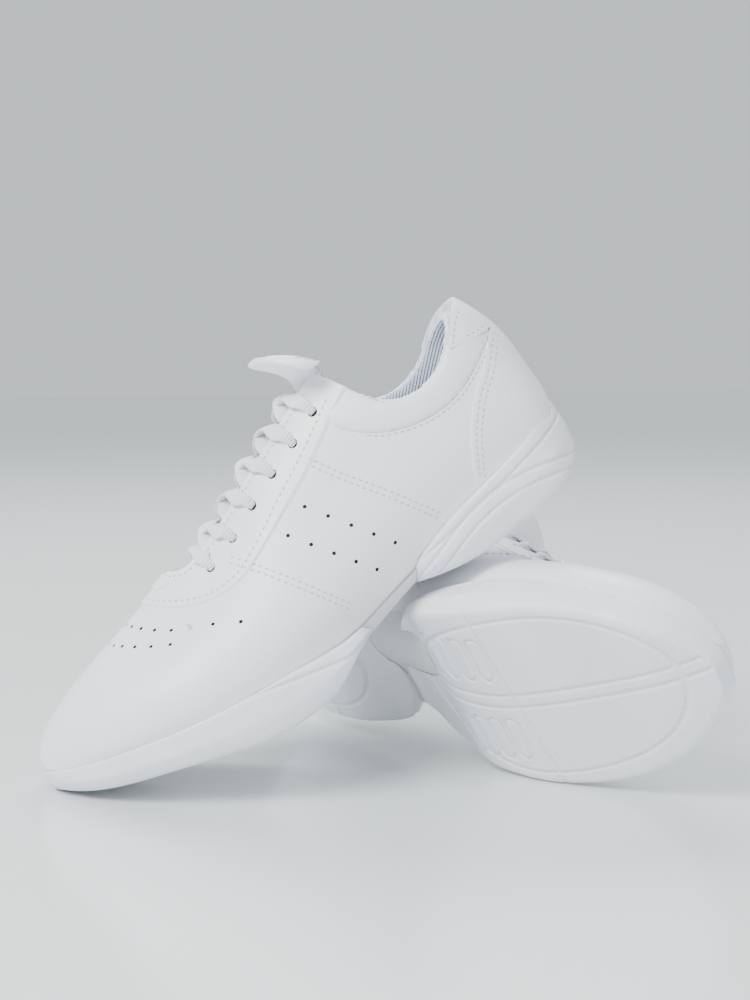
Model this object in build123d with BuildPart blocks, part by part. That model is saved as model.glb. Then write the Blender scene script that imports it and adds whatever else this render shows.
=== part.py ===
from build123d import *
import os
from math import cos, sin, radians

os.makedirs("parts", exist_ok=True)

# Pair of low-cut laced cheer shoes, millimetres.
# Each piece is drawn once in the left shoe's own frame: X from heel to toe, +Y to the
# lateral (outer) side, +Z up. The right shoe is its mirror image. At the end each shoe is
# set down: the right one lies on its medial side, the left one leans with its toe on the
# floor and its heel on the right one.

# driving sizes
SHOE_LENGTH = 252.0      # upper, heel to toe
LENGTH_SCALE = 1.0       # stretches every station along X
WIDTH_SCALE = 1.0        # stretches every half width
LEATHER = 1.7            # main panels
OVERLAY = 0.9            # stitched-on overlays
LINING = 1.5             # textile lining
STIFFENER = 0.7          # toe puff and heel stiffener, between panel and lining
COLLAR_PAD = 4.6         # foam ring inside the collar
SOCK = 4.0               # loose sock liner
SEAM_GAP = 0.15          # between stacked tongue layers
EYELET_R = 2.1           # punched eyelet radius
LACE_R = 1.15            # lace modelled as a round cord
PERF_R = 0.8             # punched air holes

MID_X = SHOE_LENGTH / 2
TOP_CLEAR = 60.0

# stations of the last: x, bottom, top, lateral and medial half width,
# shoulder share, crown share, crown height share
LAST = [
    (0.5, 40, 62, 3.0, 3.0, 0.95, 0.60, 0.88),
    (2.5, 34, 76, 10, 10, 0.95, 0.62, 0.88),
    (7, 27, 87, 18, 18, 0.93, 0.62, 0.88),
    (15, 22, 99, 24.5, 24.5, 0.92, 0.66, 0.88),
    (30, 19.5, 106, 29.5, 29.5, 0.92, 0.66, 0.88),
    (50, 18, 106, 31.5, 31, 0.91, 0.62, 0.88),
    (72, 15.5, 104, 32, 30.5, 0.88, 0.56, 0.89),
    (94, 12.5, 95.5, 33.5, 30.5, 0.85, 0.52, 0.89),
    (118, 8.3, 85.5, 37, 33, 0.83, 0.50, 0.87),
    (142, 5.2, 75.5, 41.5, 38.5, 0.83, 0.47, 0.83),
    (166, 4.8, 69.5, 43.5, 42, 0.84, 0.46, 0.80),
    (190, 10.2, 64, 42.5, 43.5, 0.86, 0.48, 0.82),
    (212, 16.8, 59, 37, 39.5, 0.88, 0.54, 0.86),
    (230, 22.8, 54, 28, 31.5, 0.90, 0.60, 0.87),
    (243, 28, 48, 16.5, 20.5, 0.90, 0.64, 0.87),
    (250.5, 32.5, 41, 6, 9.5, 0.90, 0.64, 0.87),
]

# forefoot sole stations: x, bottom, top of the side wall, lateral and medial half width
FOREFOOT = [
    (105, 8.4, 10.6, 4, 12),
    (109, 7.4, 11, 16, 22),
    (115, 6.2, 11, 26, 29),
    (121, 5.2, 11, 33.5, 33.5),
    (127, 3.6, 11, 38, 36),
    (133, 1.0, 11.8, 41, 38),
    (140, -1.6, 13, 43.2, 39.8),
    (150, -2.8, 15, 45, 41.5),
    (166, -2.0, 17.5, 46.5, 44.5),
    (185, 3.0, 20.5, 46, 47),
    (205, 9.5, 24.5, 41.5, 46),
    (225, 15.5, 29, 33.5, 39),
    (240, 21, 32.8, 23.5, 29),
    (247, 24.5, 34.8, 15.5, 21.5),
    (251, 26.6, 36, 8.5, 15),
    (253, 27.8, 36.6, 1.5, 9),
]

# heel sole stations, the same columns
HEEL = [
    (0.3, 23, 34.5, 5, 5),
    (3.2, 15.5, 35, 13, 13),
    (8, 11, 34, 20.3, 20.3),
    (15.5, 8.4, 32.3, 26.6, 26.6),
    (28, 6.6, 30, 31.6, 31.6),
    (45, 5.6, 27.6, 34, 33.7),
    (62, 5.3, 24.8, 34.5, 33.5),
    (74, 6.8, 22, 33.8, 32.8),
    (83, 8.6, 19, 30.5, 31.5),
    (90, 10.0, 16.6, 23, 27),
    (94.5, 10.9, 14.8, 10, 15),
]


def station_plane(x):
    return Plane(origin=(x * LENGTH_SCALE, 0, 0), x_dir=(0, 1, 0), z_dir=(1, 0, 0))


def last_body(inset):
    """The shape of the last, shrunk all round by inset."""
    with BuildPart() as shape:
        for x, low, high, lateral, medial, shoulder, crown, rise in LAST:
            part_way = min(1.0, (high - low) / 30)
            bottom = low + inset * part_way
            top = high - inset * part_way
            out = (lateral - inset * min(1.0, lateral / 9)) * WIDTH_SCALE
            inn = (medial - inset * min(1.0, medial / 9)) * WIDTH_SCALE
            tall = top - bottom
            half = [(0.80, 0.045), (1.0, 0.27), (shoulder, 0.58), (crown, rise)]
            ring = [(0, bottom)]
            ring += [(out * share, bottom + tall * up) for share, up in half]
            ring += [(0, top)]
            ring += [(-inn * share, bottom + tall * up) for share, up in reversed(half)]
            with BuildSketch(station_plane(MID_X + (x - MID_X) * (1 - inset / MID_X))):
                with BuildLine():
                    Spline(*ring, periodic=True)
                make_face()
        loft()
    return shape.part


def sole_body(stations):
    """A sole unit: flat underneath, rounded lower corners, walls leaning in a little."""
    with BuildPart() as shape:
        for x, low, high, lateral, medial in stations:
            out = lateral * WIDTH_SCALE
            inn = medial * WIDTH_SCALE
            tall = high - low
            lean = min(1.2, (out + inn) * 0.04)
            with BuildSketch(station_plane(x)):
                with BuildLine():
                    Polyline(
                        (-inn + 1.5 * lean, low),
                        (out - 1.5 * lean, low),
                        (out, low + tall * 0.45),
                        (out - lean, high),
                        (-inn + lean, high),
                        (-inn, low + tall * 0.45),
                        close=True,
                    )
                corners = make_face()
                low_corners = corners.vertices().sort_by(Axis.Y)[:2]
                fillet(low_corners, min(3.4, tall * 0.3, (out + inn) * 0.12))
        loft()
    return shape.part


def side_region(outline, lateral=True, medial=True):
    """Prism through the shoe from a side-view outline of (x, z) points."""
    y_high = TOP_CLEAR if lateral else 0.0
    y_low = -TOP_CLEAR if medial else 0.0
    with BuildPart() as prism:
        with BuildSketch(Plane(origin=(0, y_high, 0), x_dir=(1, 0, 0), z_dir=(0, -1, 0))):
            with BuildLine():
                Polyline(*[(x * LENGTH_SCALE, z) for x, z in outline], close=True)
            make_face()
        extrude(amount=y_high - y_low)
    return prism.part


def curved_side_region(curve, closing, lateral=True, medial=True):
    """Prism whose one edge is a smooth side-view curve, closed by straight lines."""
    y_high = TOP_CLEAR if lateral else 0.0
    y_low = -TOP_CLEAR if medial else 0.0
    path = [(x * LENGTH_SCALE, z) for x, z in curve]
    rest = [(x * LENGTH_SCALE, z) for x, z in closing]
    with BuildPart() as prism:
        with BuildSketch(Plane(origin=(0, y_high, 0), x_dir=(1, 0, 0), z_dir=(0, -1, 0))):
            with BuildLine():
                Spline(*path)
                Polyline(path[-1], *rest, path[0])
            make_face()
        extrude(amount=y_high - y_low)
    return prism.part


# shared bodies
outside = last_body(0)
overlay_face = last_body(-OVERLAY)
panel_back = last_body(LEATHER)
stiffener_back = last_body(LEATHER + STIFFENER)
lining_back = last_body(LEATHER + LINING)
pad_back = last_body(LEATHER + COLLAR_PAD)
collar_back = last_body(LEATHER + COLLAR_PAD + 1.0)

# cutting shapes shared by the panels, all as side views
TOPLINE = [(-8, 91.5), (9, 91), (17, 87), (31, 76), (46, 72), (58, 76.5), (67, 88), (73, 99)]
above_topline = curved_side_region(TOPLINE, [(84, 118), (84, 160), (-8, 160)])
COLLAR_SEAM = [(-8, 73), (8, 71.5), (20, 66.5), (35, 61.5), (51, 61.5), (67, 67), (80, 79)]
collar_zone = curved_side_region(COLLAR_SEAM, [(90, 130), (-8, 130)])
BOARD_LINE = [(-8, 42), (0, 37), (10, 28), (22, 24.5), (45, 22), (72, 18.5), (94, 15.5),
              (118, 11.8), (142, 8.6), (166, 8.1), (190, 13.5), (212, 20), (230, 26),
              (243, 31.5), (252, 38.5)]
board_zone = curved_side_region(BOARD_LINE, [(262, -20), (-8, -20)])

# throat opening, a U seen from above
THROAT_HALF_FRONT = 9.0
THROAT_HALF_REAR = 11.5
THROAT_FRONT = 166.0
with BuildPart() as throat:
    with BuildSketch(Plane.XY.offset(30)):
        with BuildLine():
            front_x = (THROAT_FRONT - THROAT_HALF_FRONT) * LENGTH_SCALE
            rear_x = 40 * LENGTH_SCALE
            left_line = Line((rear_x, THROAT_HALF_REAR), (front_x, THROAT_HALF_FRONT))
            right_line = Line((rear_x, -THROAT_HALF_REAR), (front_x, -THROAT_HALF_FRONT))
            ThreePointArc(left_line @ 1, (THROAT_FRONT * LENGTH_SCALE, 0), right_line @ 1)
            Line(left_line @ 0, right_line @ 0)
        make_face()
    extrude(amount=120)

# facing outline seen from above: straight sides and a round front
FACING_SIDE = [(60, 21.5), (86, 23.5), (112, 25.5), (141, 28)]
FACING_FRONT = [(150, 27.5), (160, 24.5), (171, 17.5), (179, 9), (182, 0)]
facing_path = FACING_SIDE + FACING_FRONT
with BuildPart() as facing_zone:
    with BuildSketch(Plane.XY.offset(30)):
        with BuildLine():
            half = [(x * LENGTH_SCALE, y) for x, y in facing_path]
            other = [(x, -y) for x, y in reversed(half[:-1])]
            side_a = Polyline(*half[:4])
            side_b = Polyline(*other[-4:])
            Spline(half[3], *half[4:], *other[:-4], other[-4])
            Line(side_b @ 1, side_a @ 0)
        make_face()
    extrude(amount=120)

# eyelets, six pairs along the facing; each bore is square to the surface
EYELET_X = [152, 138.4, 124.8, 111.2, 97.6, 84]
EYELET_Y = [17.0, 17.8, 18.4, 18.9, 19.2, 19.4]


def surface_point(body, x, y):
    """Highest point of a body over (x, y), and the outward normal there."""
    ray = Axis((x * LENGTH_SCALE, y, 200), (0, 0, -1))
    hits = body.find_intersection_points(ray)
    point, normal = max(hits, key=lambda hit: hit[0].Z)
    if normal.Z < 0:
        normal = normal * -1
    return point, normal


eyelet_seats = []
for eye_x, eye_y in zip(EYELET_X, EYELET_Y):
    for side in (1, -1):
        eyelet_seats.append(surface_point(overlay_face, eye_x, side * eye_y))

with BuildPart() as eyelet_bores:
    for seat, normal in eyelet_seats:
        with Locations(Plane(origin=seat, z_dir=normal)):
            Cylinder(EYELET_R, 16)


def panel(back, front, zones, cuts):
    """One sheet between two offset bodies, kept inside every zone, less every cut."""
    with BuildPart() as sheet:
        add(front)
        add(back, mode=Mode.SUBTRACT)
        for zone in zones:
            add(zone, mode=Mode.INTERSECT)
        for cut in cuts:
            add(cut, mode=Mode.SUBTRACT)
    return sheet.part


def largest(shape):
    return shape.solids().sort_by(SortBy.VOLUME)[-1]


openings = [above_topline, throat.part]

# panel boundaries on the side
SADDLE_REAR = [(112, 96), (92, 61), (81, 44), (66, 19), (62, 0)]
SADDLE_FRONT = [(150, 80), (138, 58), (128, 43), (112, 17), (104, 0)]
behind_saddle = SADDLE_REAR + [(-20, 0), (-20, 140), (112, 140)]
saddle_band = SADDLE_REAR + SADDLE_FRONT[::-1] + [(150, 140), (112, 140)]
front_of_saddle = SADDLE_FRONT + [(280, 0), (280, 140), (150, 140)]

wall_cuts = [board_zone] + openings
quarter_cuts = wall_cuts + [collar_zone, eyelet_bores.part]
saddle_cuts = wall_cuts + [eyelet_bores.part]

# air holes
toe_rows = []
for count, x_mid, bow in ((8, 192, 0.030), (6, 202, 0.030)):
    for step in range(count):
        reach = (step + 0.5) * 4.9
        for side in (1, -1):
            toe_rows.append((x_mid - bow * reach * reach * 0.9, side * reach))
with BuildPart() as toe_holes:
    for hole_x, hole_y in toe_rows:
        seat, normal = surface_point(outside, hole_x, hole_y)
        with Locations(Plane(origin=seat, z_dir=normal)):
            Cylinder(PERF_R, 6)

SADDLE_HOLE_ROWS = [((109, 62), (89, 30)), ((121, 57), (101, 26))]
with BuildPart() as saddle_holes:
    for first, last in SADDLE_HOLE_ROWS:
        for step in range(5):
            t = step / 4
            spot_x = (first[0] + (last[0] - first[0]) * t) * LENGTH_SCALE
            spot_z = first[1] + (last[1] - first[1]) * t
            for side in (1, -1):
                ray = Axis((spot_x, side * 100, spot_z), (0, -side, 0))
                hits = outside.find_intersection_points(ray)
                seat = max(hits, key=lambda hit: side * hit[0].Y)
                with Locations(Plane(origin=seat[0], z_dir=seat[1])):
                    Cylinder(PERF_R, 6)

pieces = {}


# main panels
front_zone = side_region(front_of_saddle)
with BuildPart() as vamp:
    add(panel(panel_back, outside, [front_zone], wall_cuts + [eyelet_bores.part]))
    add(toe_holes.part, mode=Mode.SUBTRACT)
pieces["vamp"] = vamp.part

for side_name, is_lateral in (("lateral", True), ("medial", False)):
    band = side_region(saddle_band, is_lateral, not is_lateral)
    with BuildPart() as saddle:
        add(panel(panel_back, outside, [band], saddle_cuts))
        add(saddle_holes.part, mode=Mode.SUBTRACT)
    pieces["saddle_" + side_name] = saddle.part
    rear = side_region(behind_saddle, is_lateral, not is_lateral)
    with BuildPart() as quarter:
        add(panel(panel_back, outside, [rear], quarter_cuts))
    pieces["quarter_" + side_name] = quarter.part

rear_both = side_region(behind_saddle)
with BuildPart() as collar_panel:
    add(panel(panel_back, outside, [rear_both, collar_zone], wall_cuts + [eyelet_bores.part]))
pieces["collar_panel"] = collar_panel.part

with BuildPart() as insole_board:
    add(panel(panel_back, outside, [board_zone], []))
pieces["insole_board"] = insole_board.part


# stitched-on overlays
with BuildPart() as eyestay:
    add(panel(outside, overlay_face, [facing_zone.part], openings + [eyelet_bores.part]))
pieces["eyestay"] = eyestay.part

patch_face = last_body(-2 * OVERLAY)
with BuildPart() as patch_zone:
    with BuildSketch(Plane.XY.offset(40)):
        with Locations((171.5 * LENGTH_SCALE, 0)):
            patch_outline = Trapezoid(19, 6.5, 60, rotation=-90)
        fillet(patch_outline.vertices(), 1.5)
    extrude(amount=60)
with BuildPart() as throat_patch:
    add(panel(overlay_face, patch_face, [patch_zone.part], [throat.part]))
pieces["throat_patch"] = throat_patch.part

COUNTER_EDGE = [(-8, 73.5), (6, 73.5), (11, 70), (19, 63.5), (29, 57), (38, 48), (44, 39),
                (49, 28), (52, 16)]
counter_zone = curved_side_region(COUNTER_EDGE, [(-8, 16)])
with BuildPart() as heel_counter:
    add(panel(outside, overlay_face, [counter_zone], [board_zone]))
pieces["heel_counter"] = heel_counter.part

TAB_EDGE = [(-8, 74.5), (9, 74.5), (17, 76), (25, 77.5)]
tab_zone = curved_side_region(TAB_EDGE, [(29, 90), (29, 120), (-8, 120)])
with BuildPart() as heel_tab:
    add(panel(outside, overlay_face, [tab_zone], [above_topline, heel_counter.part]))
pieces["heel_tab"] = heel_tab.part

# stiffeners and lining behind the panels
toe_zone = side_region([(212, 0), (270, 0), (270, 120), (204, 120)])
with BuildPart() as toe_puff:
    add(panel(stiffener_back, panel_back, [toe_zone], [board_zone]))
pieces["toe_puff"] = toe_puff.part

heel_zone = side_region([(-8, 20), (56, 20), (40, 58), (-8, 58)])
with BuildPart() as heel_stiffener:
    add(panel(stiffener_back, panel_back, [heel_zone], [board_zone]))
pieces["heel_stiffener"] = heel_stiffener.part

LINING_SPLIT = 104.0
front_half = side_region([(LINING_SPLIT, -10), (270, -10), (270, 140), (LINING_SPLIT, 140)])
rear_half = side_region([(-10, -10), (LINING_SPLIT, -10), (LINING_SPLIT, 140), (-10, 140)])
lining_cuts = openings + [eyelet_bores.part]
with BuildPart() as vamp_lining:
    add(panel(lining_back, panel_back, [front_half], lining_cuts + [toe_puff.part]))
pieces["vamp_lining"] = vamp_lining.part

pad_zone = curved_side_region(COLLAR_SEAM, [(80, 130), (-8, 130)])
with BuildPart() as quarter_lining:
    add(panel(lining_back, panel_back, [rear_half],
              lining_cuts + [heel_stiffener.part, pad_zone]))
pieces["quarter_lining"] = quarter_lining.part

PAD_TOP = [(x, z - 1.2) for x, z in TOPLINE]
above_pad = curved_side_region(PAD_TOP, [(84, 117), (84, 160), (-8, 160)])
facing_guard = side_region([(74, 0), (140, 0), (140, 140), (74, 140)])
with BuildPart() as collar_foam:
    add(panel(pad_back, panel_back, [pad_zone], [above_pad, facing_guard, throat.part]))
pieces["collar_foam"] = collar_foam.part

with BuildPart() as collar_lining:
    add(panel(collar_back, pad_back, [pad_zone], [above_topline, facing_guard, throat.part]))
pieces["collar_lining"] = collar_lining.part

# loose sock liner on the lining
sock_back = last_body(LEATHER + LINING + 0.15)
sock_top = [(x, z + SOCK) for x, z in BOARD_LINE]
sock_zone = curved_side_region(sock_top, [(262, -20), (-8, -20)])
with BuildPart() as sock_liner:
    add(sock_back)
    add(sock_zone, mode=Mode.INTERSECT)
pieces["sock_liner"] = sock_liner.part

# arch plate and the two sole units
arch_zone = curved_side_region([(x, z - 1.0) for x, z in BOARD_LINE[4:10]],
                               [(162, -20), (45, -20)])
arch_clip = side_region([(72, -20), (132, -20), (132, 40), (72, 40)])
with BuildPart() as arch_plate:
    add(panel(outside, overlay_face, [arch_zone, arch_clip], []))
pieces["arch_plate"] = arch_plate.part

with BuildPart() as forefoot_sole:
    add(sole_body(FOREFOOT))
    add(outside, mode=Mode.SUBTRACT)
    add(arch_plate.part, mode=Mode.SUBTRACT)
pieces["forefoot_sole"] = forefoot_sole.part

with BuildPart() as heel_sole:
    add(sole_body(HEEL))
    add(outside, mode=Mode.SUBTRACT)
    add(arch_plate.part, mode=Mode.SUBTRACT)
    add(heel_counter.part, mode=Mode.SUBTRACT)
pieces["heel_sole"] = heel_sole.part

# tongue: stations along it from its stitched end: x, z of the cover, rise angle,
# half width, sag of the edges, thickness
TONGUE = [
    (163, 62.4, 16, 12.0, 5.0, 2.6),
    (150, 65.8, 20, 13.5, 7.0, 3.2),
    (134, 71.4, 22, 14.5, 8.5, 4.0),
    (116, 78.8, 23, 14.5, 8.5, 5.0),
    (100, 85.8, 25, 13.2, 7.2, 6.0),
    (90, 90.8, 33, 10.3, 4.8, 7.0),
    (84, 95.3, 46, 9.8, 4.0, 7.6),
    (80.8, 100, 62, 10.4, 4.0, 8.0),
    (80, 105, 78, 16.5, 5.5, 7.6),
    (81.2, 108.6, 92, 18.0, 6.5, 6.0),
    (82.4, 110.6, 100, 13.0, 5.0, 3.4),
]
COVER = 1.2
BACKING = 0.9


def tongue_layer(first_depth, last_depth, stations):
    """Curved strip between two depths below the cover; a depth is a function of thickness."""
    with BuildPart() as strip:
        for x, z, rise, half, sag, thick in stations:
            top = first_depth(thick)
            low = last_depth(thick)
            along = (-cos(radians(rise)), 0, sin(radians(rise)))
            at = Plane(origin=(x * LENGTH_SCALE, 0, z), x_dir=(0, 1, 0), z_dir=along)
            with BuildSketch(at):
                with BuildLine():
                    ThreePointArc((-half, sag + top), (0, top), (half, sag + top))
                    Line((half, sag + top), (half, sag + low))
                    ThreePointArc((half, sag + low), (0, low), (-half, sag + low))
                    Line((-half, sag + low), (-half, sag + top))
                make_face()
        loft()
    return strip.part


# the padded top folds forward at the last lace row; the blade below it is laced down
FOLD_X = 94.0
FOLD_GAP = 0.3
top_side = side_region([(0, 0), (FOLD_X - FOLD_GAP, 0), (FOLD_X - FOLD_GAP, 160), (0, 160)])
blade_side = side_region([(FOLD_X, 0), (200, 0), (200, 160), (FOLD_X, 160)])

# beside the throat the tongue top keeps above the facings, over its whole fold
WING_CLEAR_Z = 104.6
with BuildPart() as facing_room:
    with Locations((60, 30, WING_CLEAR_Z - 40), (60, -30, WING_CLEAR_Z - 40)):
        Box(120, 60 - 2 * (THROAT_HALF_REAR - 1.5), 80)



def tongue_piece(first_depth, last_depth, side, cuts=()):
    """One layer of the tongue on one side of the fold, less every cut."""
    with BuildPart() as piece:
        add(tongue_layer(first_depth, last_depth, TONGUE))
        add(side, mode=Mode.INTERSECT)
        for cut in cuts:
            add(cut, mode=Mode.SUBTRACT)
    return largest(piece.part)


def surface(thick):
    return 0


def under_cover(thick):
    return COVER


def core_top(thick):
    return COVER + SEAM_GAP


def core_back(thick):
    return thick - BACKING - SEAM_GAP


def backing_top(thick):
    return thick - BACKING


def whole(thick):
    return thick


top_cuts = [facing_room.part]
pieces["tongue_cap"] = tongue_piece(surface, under_cover, top_side, top_cuts)
pieces["tongue_foam"] = tongue_piece(core_top, core_back, top_side, top_cuts)
pieces["tongue_cap_lining"] = tongue_piece(backing_top, whole, top_side, top_cuts)
pieces["tongue_lining"] = tongue_piece(backing_top, whole, blade_side, [vamp_lining.part])
tongue_blade = tongue_piece(surface, core_back, blade_side, [vamp_lining.part])

# lace keeper: a short band stitched across the tongue cover
KEEPER_X = 104.0
keeper_seat, keeper_normal = surface_point(tongue_blade, KEEPER_X, 0)
with BuildPart() as lace_keeper:
    with BuildSketch(Plane(origin=keeper_seat, x_dir=(0, 1, 0), z_dir=keeper_normal)):
        RectangleRounded(13, 8, 1.2)
    extrude(amount=1.2, both=True)
    add(tongue_blade, mode=Mode.SUBTRACT)

# lace: a bar across the front pair, then crossing over each pair up to the top
LACE_LIFT = LACE_R + 0.45
BEHIND = OVERLAY + LEATHER + LINING + LACE_R + 0.45


def lace_outside(row, side):
    seat, normal = surface_point(overlay_face, EYELET_X[row], side * EYELET_Y[row])
    return seat + normal * LACE_LIFT


def lace_inside(row, side):
    seat, normal = surface_point(overlay_face, EYELET_X[row], side * EYELET_Y[row])
    return seat - normal * BEHIND


def over_surface(x, y, lift):
    seat, normal = surface_point(overlay_face, x, y)
    return seat + normal * lift


def half_lace(first_side, lower):
    """From the front eyelet on one side up to the top row, ending inside the shoe."""
    route = [lace_outside(0, first_side), lace_inside(0, first_side)]
    side = first_side
    for row in range(5):
        here = EYELET_X[row]
        there = EYELET_X[row + 1]
        step = there - here
        under = -1.9 if lower else 0.9
        route.append(over_surface(here + 0.22 * step, side * 7.4, -3.4))
        route.append(over_surface(here + 0.5 * step, side * 0.6, under))
        side = -side
        route.append(over_surface(here + 0.78 * step, side * 11.0, LACE_LIFT + 0.1))
        route.append(lace_outside(row + 1, side))
        route.append(lace_inside(row + 1, side))
    wall = 18.6
    route.append(Vector(82.0, side * wall, 78.0))
    route.append(Vector(81.0, side * (wall + 0.6), 64.0))
    route.append(Vector(86.0, side * wall, 52.0))
    return route


path_a = half_lace(1, True)
path_b = half_lace(-1, False)
bar_high = over_surface(EYELET_X[0] - 0.8, 0, LACE_LIFT + 0.2)
lace_points = path_b[::-1] + [bar_high] + path_a


def bend_radii(points):
    radii = []
    for before, at, after in zip(points, points[1:], points[2:]):
        run_in = at - before
        run_out = after - at
        turn = run_in.get_angle(run_out)
        shorter = min(run_in.length, run_out.length)
        half_turn = radians(max(turn, 2.0)) / 2
        reach = 0.45 * shorter * cos(half_turn) / sin(half_turn)
        radii.append(min(reach, 40.0))
    return radii


with BuildPart() as lace:
    with BuildLine() as lace_line:
        FilletPolyline(*lace_points, radius=bend_radii(lace_points))
    with BuildSketch(Plane(origin=lace_line.line @ 0, z_dir=lace_line.line % 0)):
        Circle(LACE_R)
    sweep()
pieces["lace"] = lace.part

# the pulled-tight lace presses into what it lies on
for name, soft in (("eyestay", eyestay.part), ("vamp", vamp.part), ("tongue_mesh", tongue_blade),
                   ("lace_keeper", lace_keeper.part), ("vamp_lining", vamp_lining.part)):
    with BuildPart() as pressed:
        add(soft)
        add(lace.part, mode=Mode.SUBTRACT)
    pieces[name] = largest(pressed.part)

print("lace length", round(sum(edge.length for edge in lace_line.edges()), 1))

for name, end, before in (("aglet_lateral", path_b[-1], path_b[-2]),
                          ("aglet_medial", path_a[-1], path_a[-2])):
    with BuildPart() as aglet:
        with BuildSketch(Plane(origin=end, z_dir=end - before)):
            Circle(LACE_R + 0.1)
        extrude(amount=16)
    pieces[name] = aglet.part


# the pair as it lies: yaw, pitch and roll in degrees, then the place of the shoe's own zero
UPPER_SHOE = (180.0, 35.4, 3.6, 259.82, 779.5, 124.38)
LOWER_SHOE = (-60.0, -3.15, -58.3, 128.89, 888.3, 27.46)


def placement(pose):
    yaw, pitch, roll, x, y, z = pose
    return Pos(x, y, z) * Rot(0, 0, yaw) * Rot(0, pitch, 0) * Rot(roll, 0, 0)


placed = {}
for key, shape in pieces.items():
    placed["left_" + key] = placement(UPPER_SHOE) * shape
    placed["right_" + key] = placement(LOWER_SHOE) * shape.mirror(Plane.XZ)

boxes = [shape.bounding_box() for shape in placed.values()]
middle_x = (min(b.min.X for b in boxes) + max(b.max.X for b in boxes)) / 2
middle_y = (min(b.min.Y for b in boxes) + max(b.max.Y for b in boxes)) / 2
floor_z = min(b.min.Z for b in boxes)
to_centre = Pos(-middle_x, -middle_y, -floor_z)
print("box centre was", round(middle_x, 2), round(middle_y, 2), round(floor_z, 2))

for key, shape in placed.items():
    finished = to_centre * shape
    finished.label = key
    export_step(finished, "parts/" + key + ".step", write_pcurves=False)
    print(key, len(finished.solids()), round(finished.volume, 1), finished.is_valid)
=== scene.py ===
# %% [markdown]
# # A pair of white cheer shoes
# The hard facts of the shoes (panels, soles, eyelets, joints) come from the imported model,
# which is loaded first and never moved. This lesson adds what a shoe maker adds by hand:
# stitching, flat laces, soft padding, sole pattern and the finish of every material.

# %% Load the frame
import math

import bmesh
import bpy
from mathutils import Matrix, Vector
from mathutils.bvhtree import BVHTree


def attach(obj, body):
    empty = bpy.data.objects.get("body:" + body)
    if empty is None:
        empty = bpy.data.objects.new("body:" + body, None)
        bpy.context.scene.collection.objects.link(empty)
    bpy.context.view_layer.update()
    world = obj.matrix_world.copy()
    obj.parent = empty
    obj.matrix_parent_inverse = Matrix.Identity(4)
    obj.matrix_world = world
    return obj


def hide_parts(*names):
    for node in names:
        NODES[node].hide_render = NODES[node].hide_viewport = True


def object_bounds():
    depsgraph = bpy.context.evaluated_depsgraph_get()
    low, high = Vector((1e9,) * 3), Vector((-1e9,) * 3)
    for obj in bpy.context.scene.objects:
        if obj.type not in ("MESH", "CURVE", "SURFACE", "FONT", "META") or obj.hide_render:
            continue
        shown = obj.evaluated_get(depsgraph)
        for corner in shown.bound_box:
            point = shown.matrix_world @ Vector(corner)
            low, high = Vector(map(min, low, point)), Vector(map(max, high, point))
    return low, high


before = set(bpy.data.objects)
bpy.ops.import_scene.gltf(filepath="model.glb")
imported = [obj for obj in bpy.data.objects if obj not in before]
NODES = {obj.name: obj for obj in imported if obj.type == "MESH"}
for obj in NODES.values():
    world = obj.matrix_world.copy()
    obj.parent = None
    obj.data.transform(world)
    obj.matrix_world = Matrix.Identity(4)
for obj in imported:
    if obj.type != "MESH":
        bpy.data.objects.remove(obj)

CAD_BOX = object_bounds()
SIDES = ("left", "right")
BODY = {"left": "left_shoe", "right": "right_shoe"}
TOP_BODY = {"left": "left_tongue_top", "right": "right_tongue_top"}
MM = 0.001

# %% [markdown]
# ## One drawing for both shoes
# A last maker draws one shoe and mirrors it. All sizes below are in the shoe's own frame,
# in millimetres: X from heel to toe, +Y to the outer side, +Z up. One matrix per shoe takes
# them to the place where that shoe lies, so each detail is written once.

# %% Where each shoe lies
POSES = {
    "left": (180.0, 35.4, 3.6, 259.82, 779.5, 124.38),
    "right": (-60.0, -3.15, -58.3, 128.89, 888.3, 27.46),
}
BOX_CENTRE = Vector((160.8, 802.51, -0.02))


def shoe_matrix(side):
    """Shoe millimetres to scene metres; the right shoe is the mirror image of the left."""
    yaw, pitch, roll, x, y, z = POSES[side]
    turn = Matrix.Rotation(math.radians(yaw), 4, "Z")
    turn = turn @ Matrix.Rotation(math.radians(pitch), 4, "Y")
    turn = turn @ Matrix.Rotation(math.radians(roll), 4, "X")
    place = Matrix.Translation((Vector((x, y, z)) - BOX_CENTRE) * MM)
    mirror = Matrix.Diagonal((MM, -MM if side == "right" else MM, MM, 1))
    return place @ turn @ mirror


TO_SCENE = {side: shoe_matrix(side) for side in SIDES}
TO_SHOE = {side: TO_SCENE[side].inverted() for side in SIDES}


# %% [markdown]
# ## Finding the surface
# Stitches and laces have to lie on the leather. A ray shot at the panels gives the point
# and the direction the surface faces there, which is safer than typing heights by hand.

# %% Surface probes
UPPER_PARTS = ("vamp", "saddle_lateral", "saddle_medial", "quarter_lateral",
               "quarter_medial", "collar_panel", "eyestay", "heel_counter", "heel_tab")


def probe_tree(side, parts):
    """A search tree of the named parts in shoe millimetres."""
    verts, faces = [], []
    for part in parts:
        mesh = NODES[f"{side}_{part}"].data
        base = len(verts)
        verts += [TO_SHOE[side] @ v.co for v in mesh.vertices]
        faces += [[base + i for i in p.vertices] for p in mesh.polygons]
    return BVHTree.FromPolygons(verts, faces)


TREES = {side: probe_tree(side, UPPER_PARTS) for side in SIDES}


def probe(side, start, direction):
    """First surface point along a ray and its outward normal, or None."""
    start, direction = Vector(start), Vector(direction).normalized()
    spot, normal, _, _ = TREES[side].ray_cast(start, direction)
    if spot is None:
        return None
    if normal.dot(direction) > 0:
        normal = -normal
    return spot, normal


def from_side(side, x, z, outward):
    return probe(side, (x, outward * 120, z), (0, -outward, 0))


def from_top(side, x, y):
    return probe(side, (x, y, 200), (0, 0, -1))


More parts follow.
